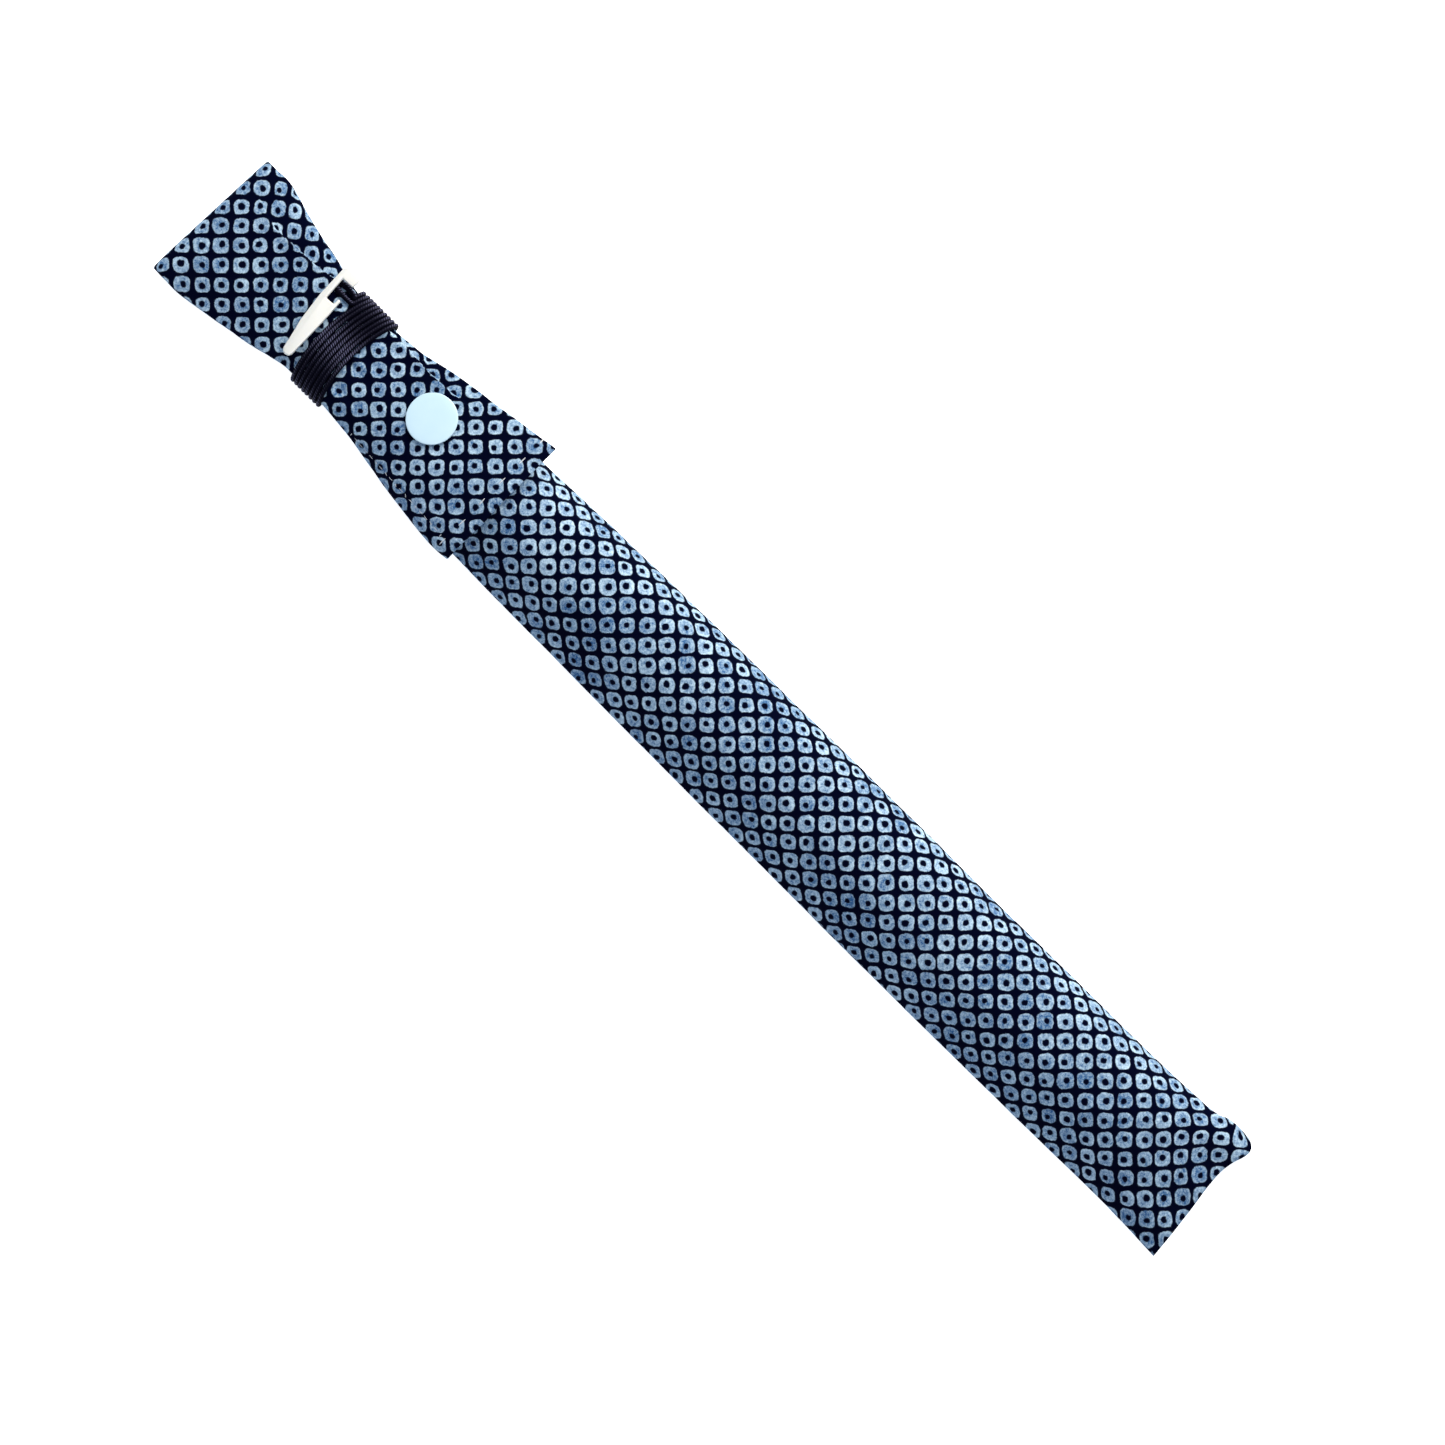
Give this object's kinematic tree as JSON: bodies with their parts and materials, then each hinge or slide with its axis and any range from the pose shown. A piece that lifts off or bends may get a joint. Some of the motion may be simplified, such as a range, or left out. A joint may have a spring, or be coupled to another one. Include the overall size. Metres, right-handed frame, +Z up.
{
  "type": "slim fabric tube case",
  "caption": "Slim soft case: lined printed-cotton tube, mouth folded back, neck wound with doubled cord and slotted claw, round badge.",
  "frame": {"origin": "centre of the bounding box's underside, on the surface the case lies on", "axes": "+X along the case from the fold at the head to the sewn bottom end, +Y across it, +Z up"},
  "size_m": [0.4993, 0.0567, 0.0211],
  "materials": {
    "printed_cotton": "matt plain-weave cotton, near-black navy printed with steel-blue rounded rings",
    "lining_cotton": "matt plain navy cotton",
    "braided_cord": "fine braided cord with a slight sheen",
    "ivory_claw": "smooth satin ivory white",
    "pale_badge": "smooth satin pale blue"
  },
  "bodies": {
    "case": {"body_shell": "printed_cotton", "body_lining": "lining_cotton", "side_seam_allowance": "printed_cotton", "bottom_seam_allowance": "printed_cotton", "neck_lower_shell": "printed_cotton", "neck_lower_lining": "lining_cotton", "head_lower_shell": "printed_cotton", "head_lower_lining": "lining_cotton"},
    "flap": {"head_upper_shell": "printed_cotton", "head_upper_lining": "lining_cotton", "neck_upper_shell": "printed_cotton", "neck_upper_lining": "lining_cotton", "closing_cord": "braided_cord"},
    "tongue": {"tongue_shell": "printed_cotton", "tongue_lining": "lining_cotton", "mouth_hem_facing": "printed_cotton", "disc_badge": "pale_badge"},
    "claw": {"claw": "ivory_claw"}
  },
  "joints": [
    {"name": "mouth_fold", "type": "hinge", "parent": "case", "child": "flap", "pos_m": [-0.25, 0, 0.00585], "axis": [0, -1, 0], "range_deg": [0, 150], "deforming": ["closing_cord"]},
    {"name": "tongue_lift", "type": "hinge", "parent": "flap", "child": "tongue", "pos_m": [-0.1742, 0, 0.0116], "axis": [0, -1, 0], "range_deg": [0, 45]},
    {"name": "claw_swing", "type": "hinge", "parent": "flap", "child": "claw", "pos_m": [-0.199, 0.0149, 0.0123], "axis": [-1, 0, 0], "range_deg": [0, 35]}
  ]
}
